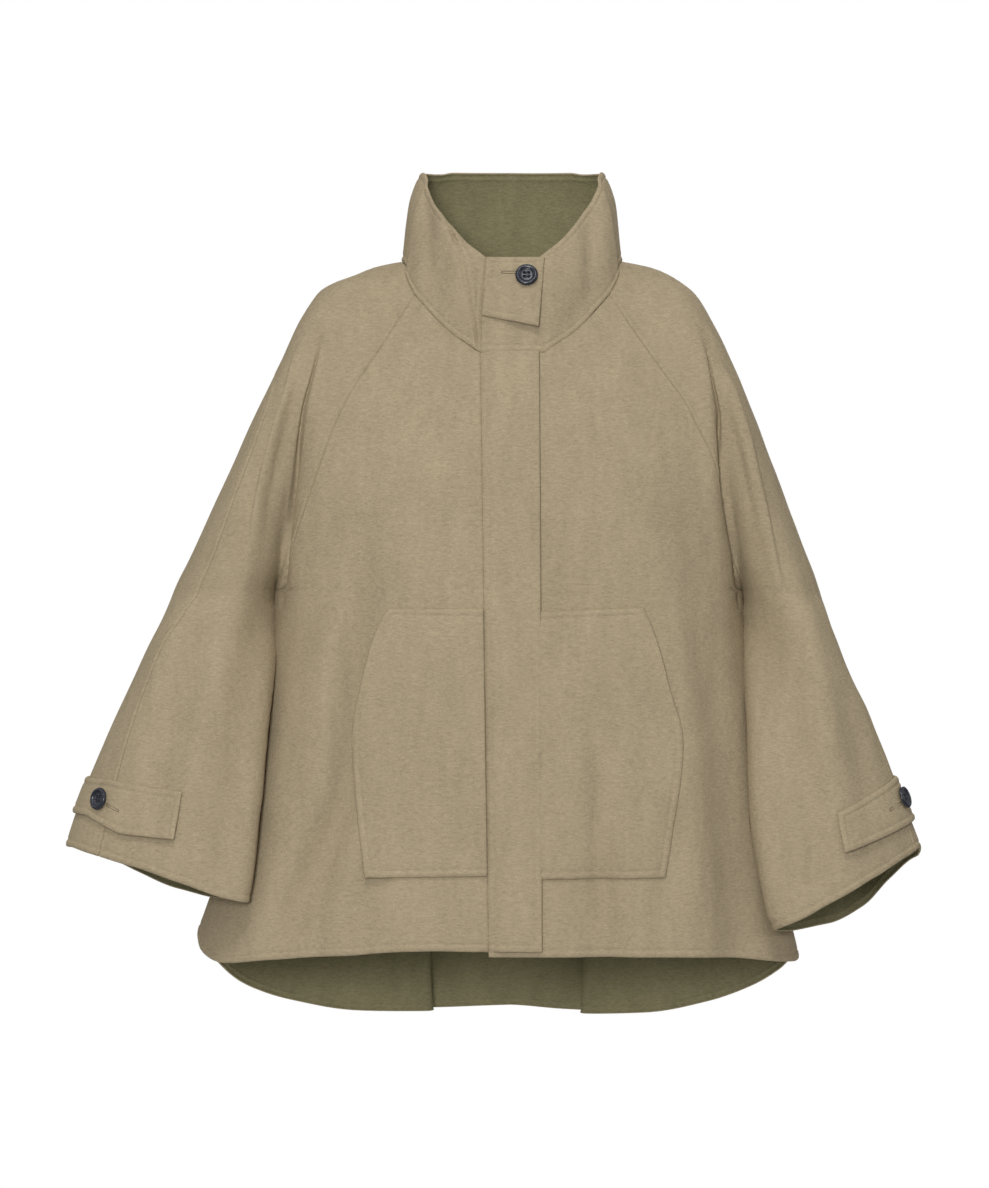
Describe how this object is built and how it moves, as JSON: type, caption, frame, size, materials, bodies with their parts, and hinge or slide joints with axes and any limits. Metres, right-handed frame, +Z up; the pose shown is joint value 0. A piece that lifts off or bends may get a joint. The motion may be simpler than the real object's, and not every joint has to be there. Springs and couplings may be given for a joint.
{
  "type": "a-line jacket",
  "caption": "Flared wool jacket with a stand collar, raglan cape sleeves, fly placket, patch pockets, button tabs and a dipped back hem, filled out as worn.",
  "frame": {"origin": "middle of the neck opening, level with the points where the shoulders meet the collar, where the wearer holds the jacket up", "axes": "+Z up, the front faces -Y, +X to the wearer's left"},
  "size_m": [0.8415, 0.3224, 0.8631],
  "materials": {
    "double_faced_wool": "brushed double-faced wool, taupe outside and olive green inside",
    "dark_button": "polished four-hole button with a raised rim"
  },
  "bodies": {
    "root": {"back": "double_faced_wool", "front_right": "double_faced_wool", "front_left": "double_faced_wool", "placket": "double_faced_wool", "sleeve_front_right": "double_faced_wool", "sleeve_front_left": "double_faced_wool", "sleeve_back_right": "double_faced_wool", "sleeve_back_left": "double_faced_wool", "collar": "double_faced_wool", "collar_tab": "double_faced_wool", "pocket_right": "double_faced_wool", "pocket_left": "double_faced_wool", "cuff_tab_right": "double_faced_wool", "cuff_tab_left": "double_faced_wool", "button_collar": "dark_button", "button_cuff_right": "dark_button", "button_cuff_left": "dark_button"}
  },
  "joints": []
}
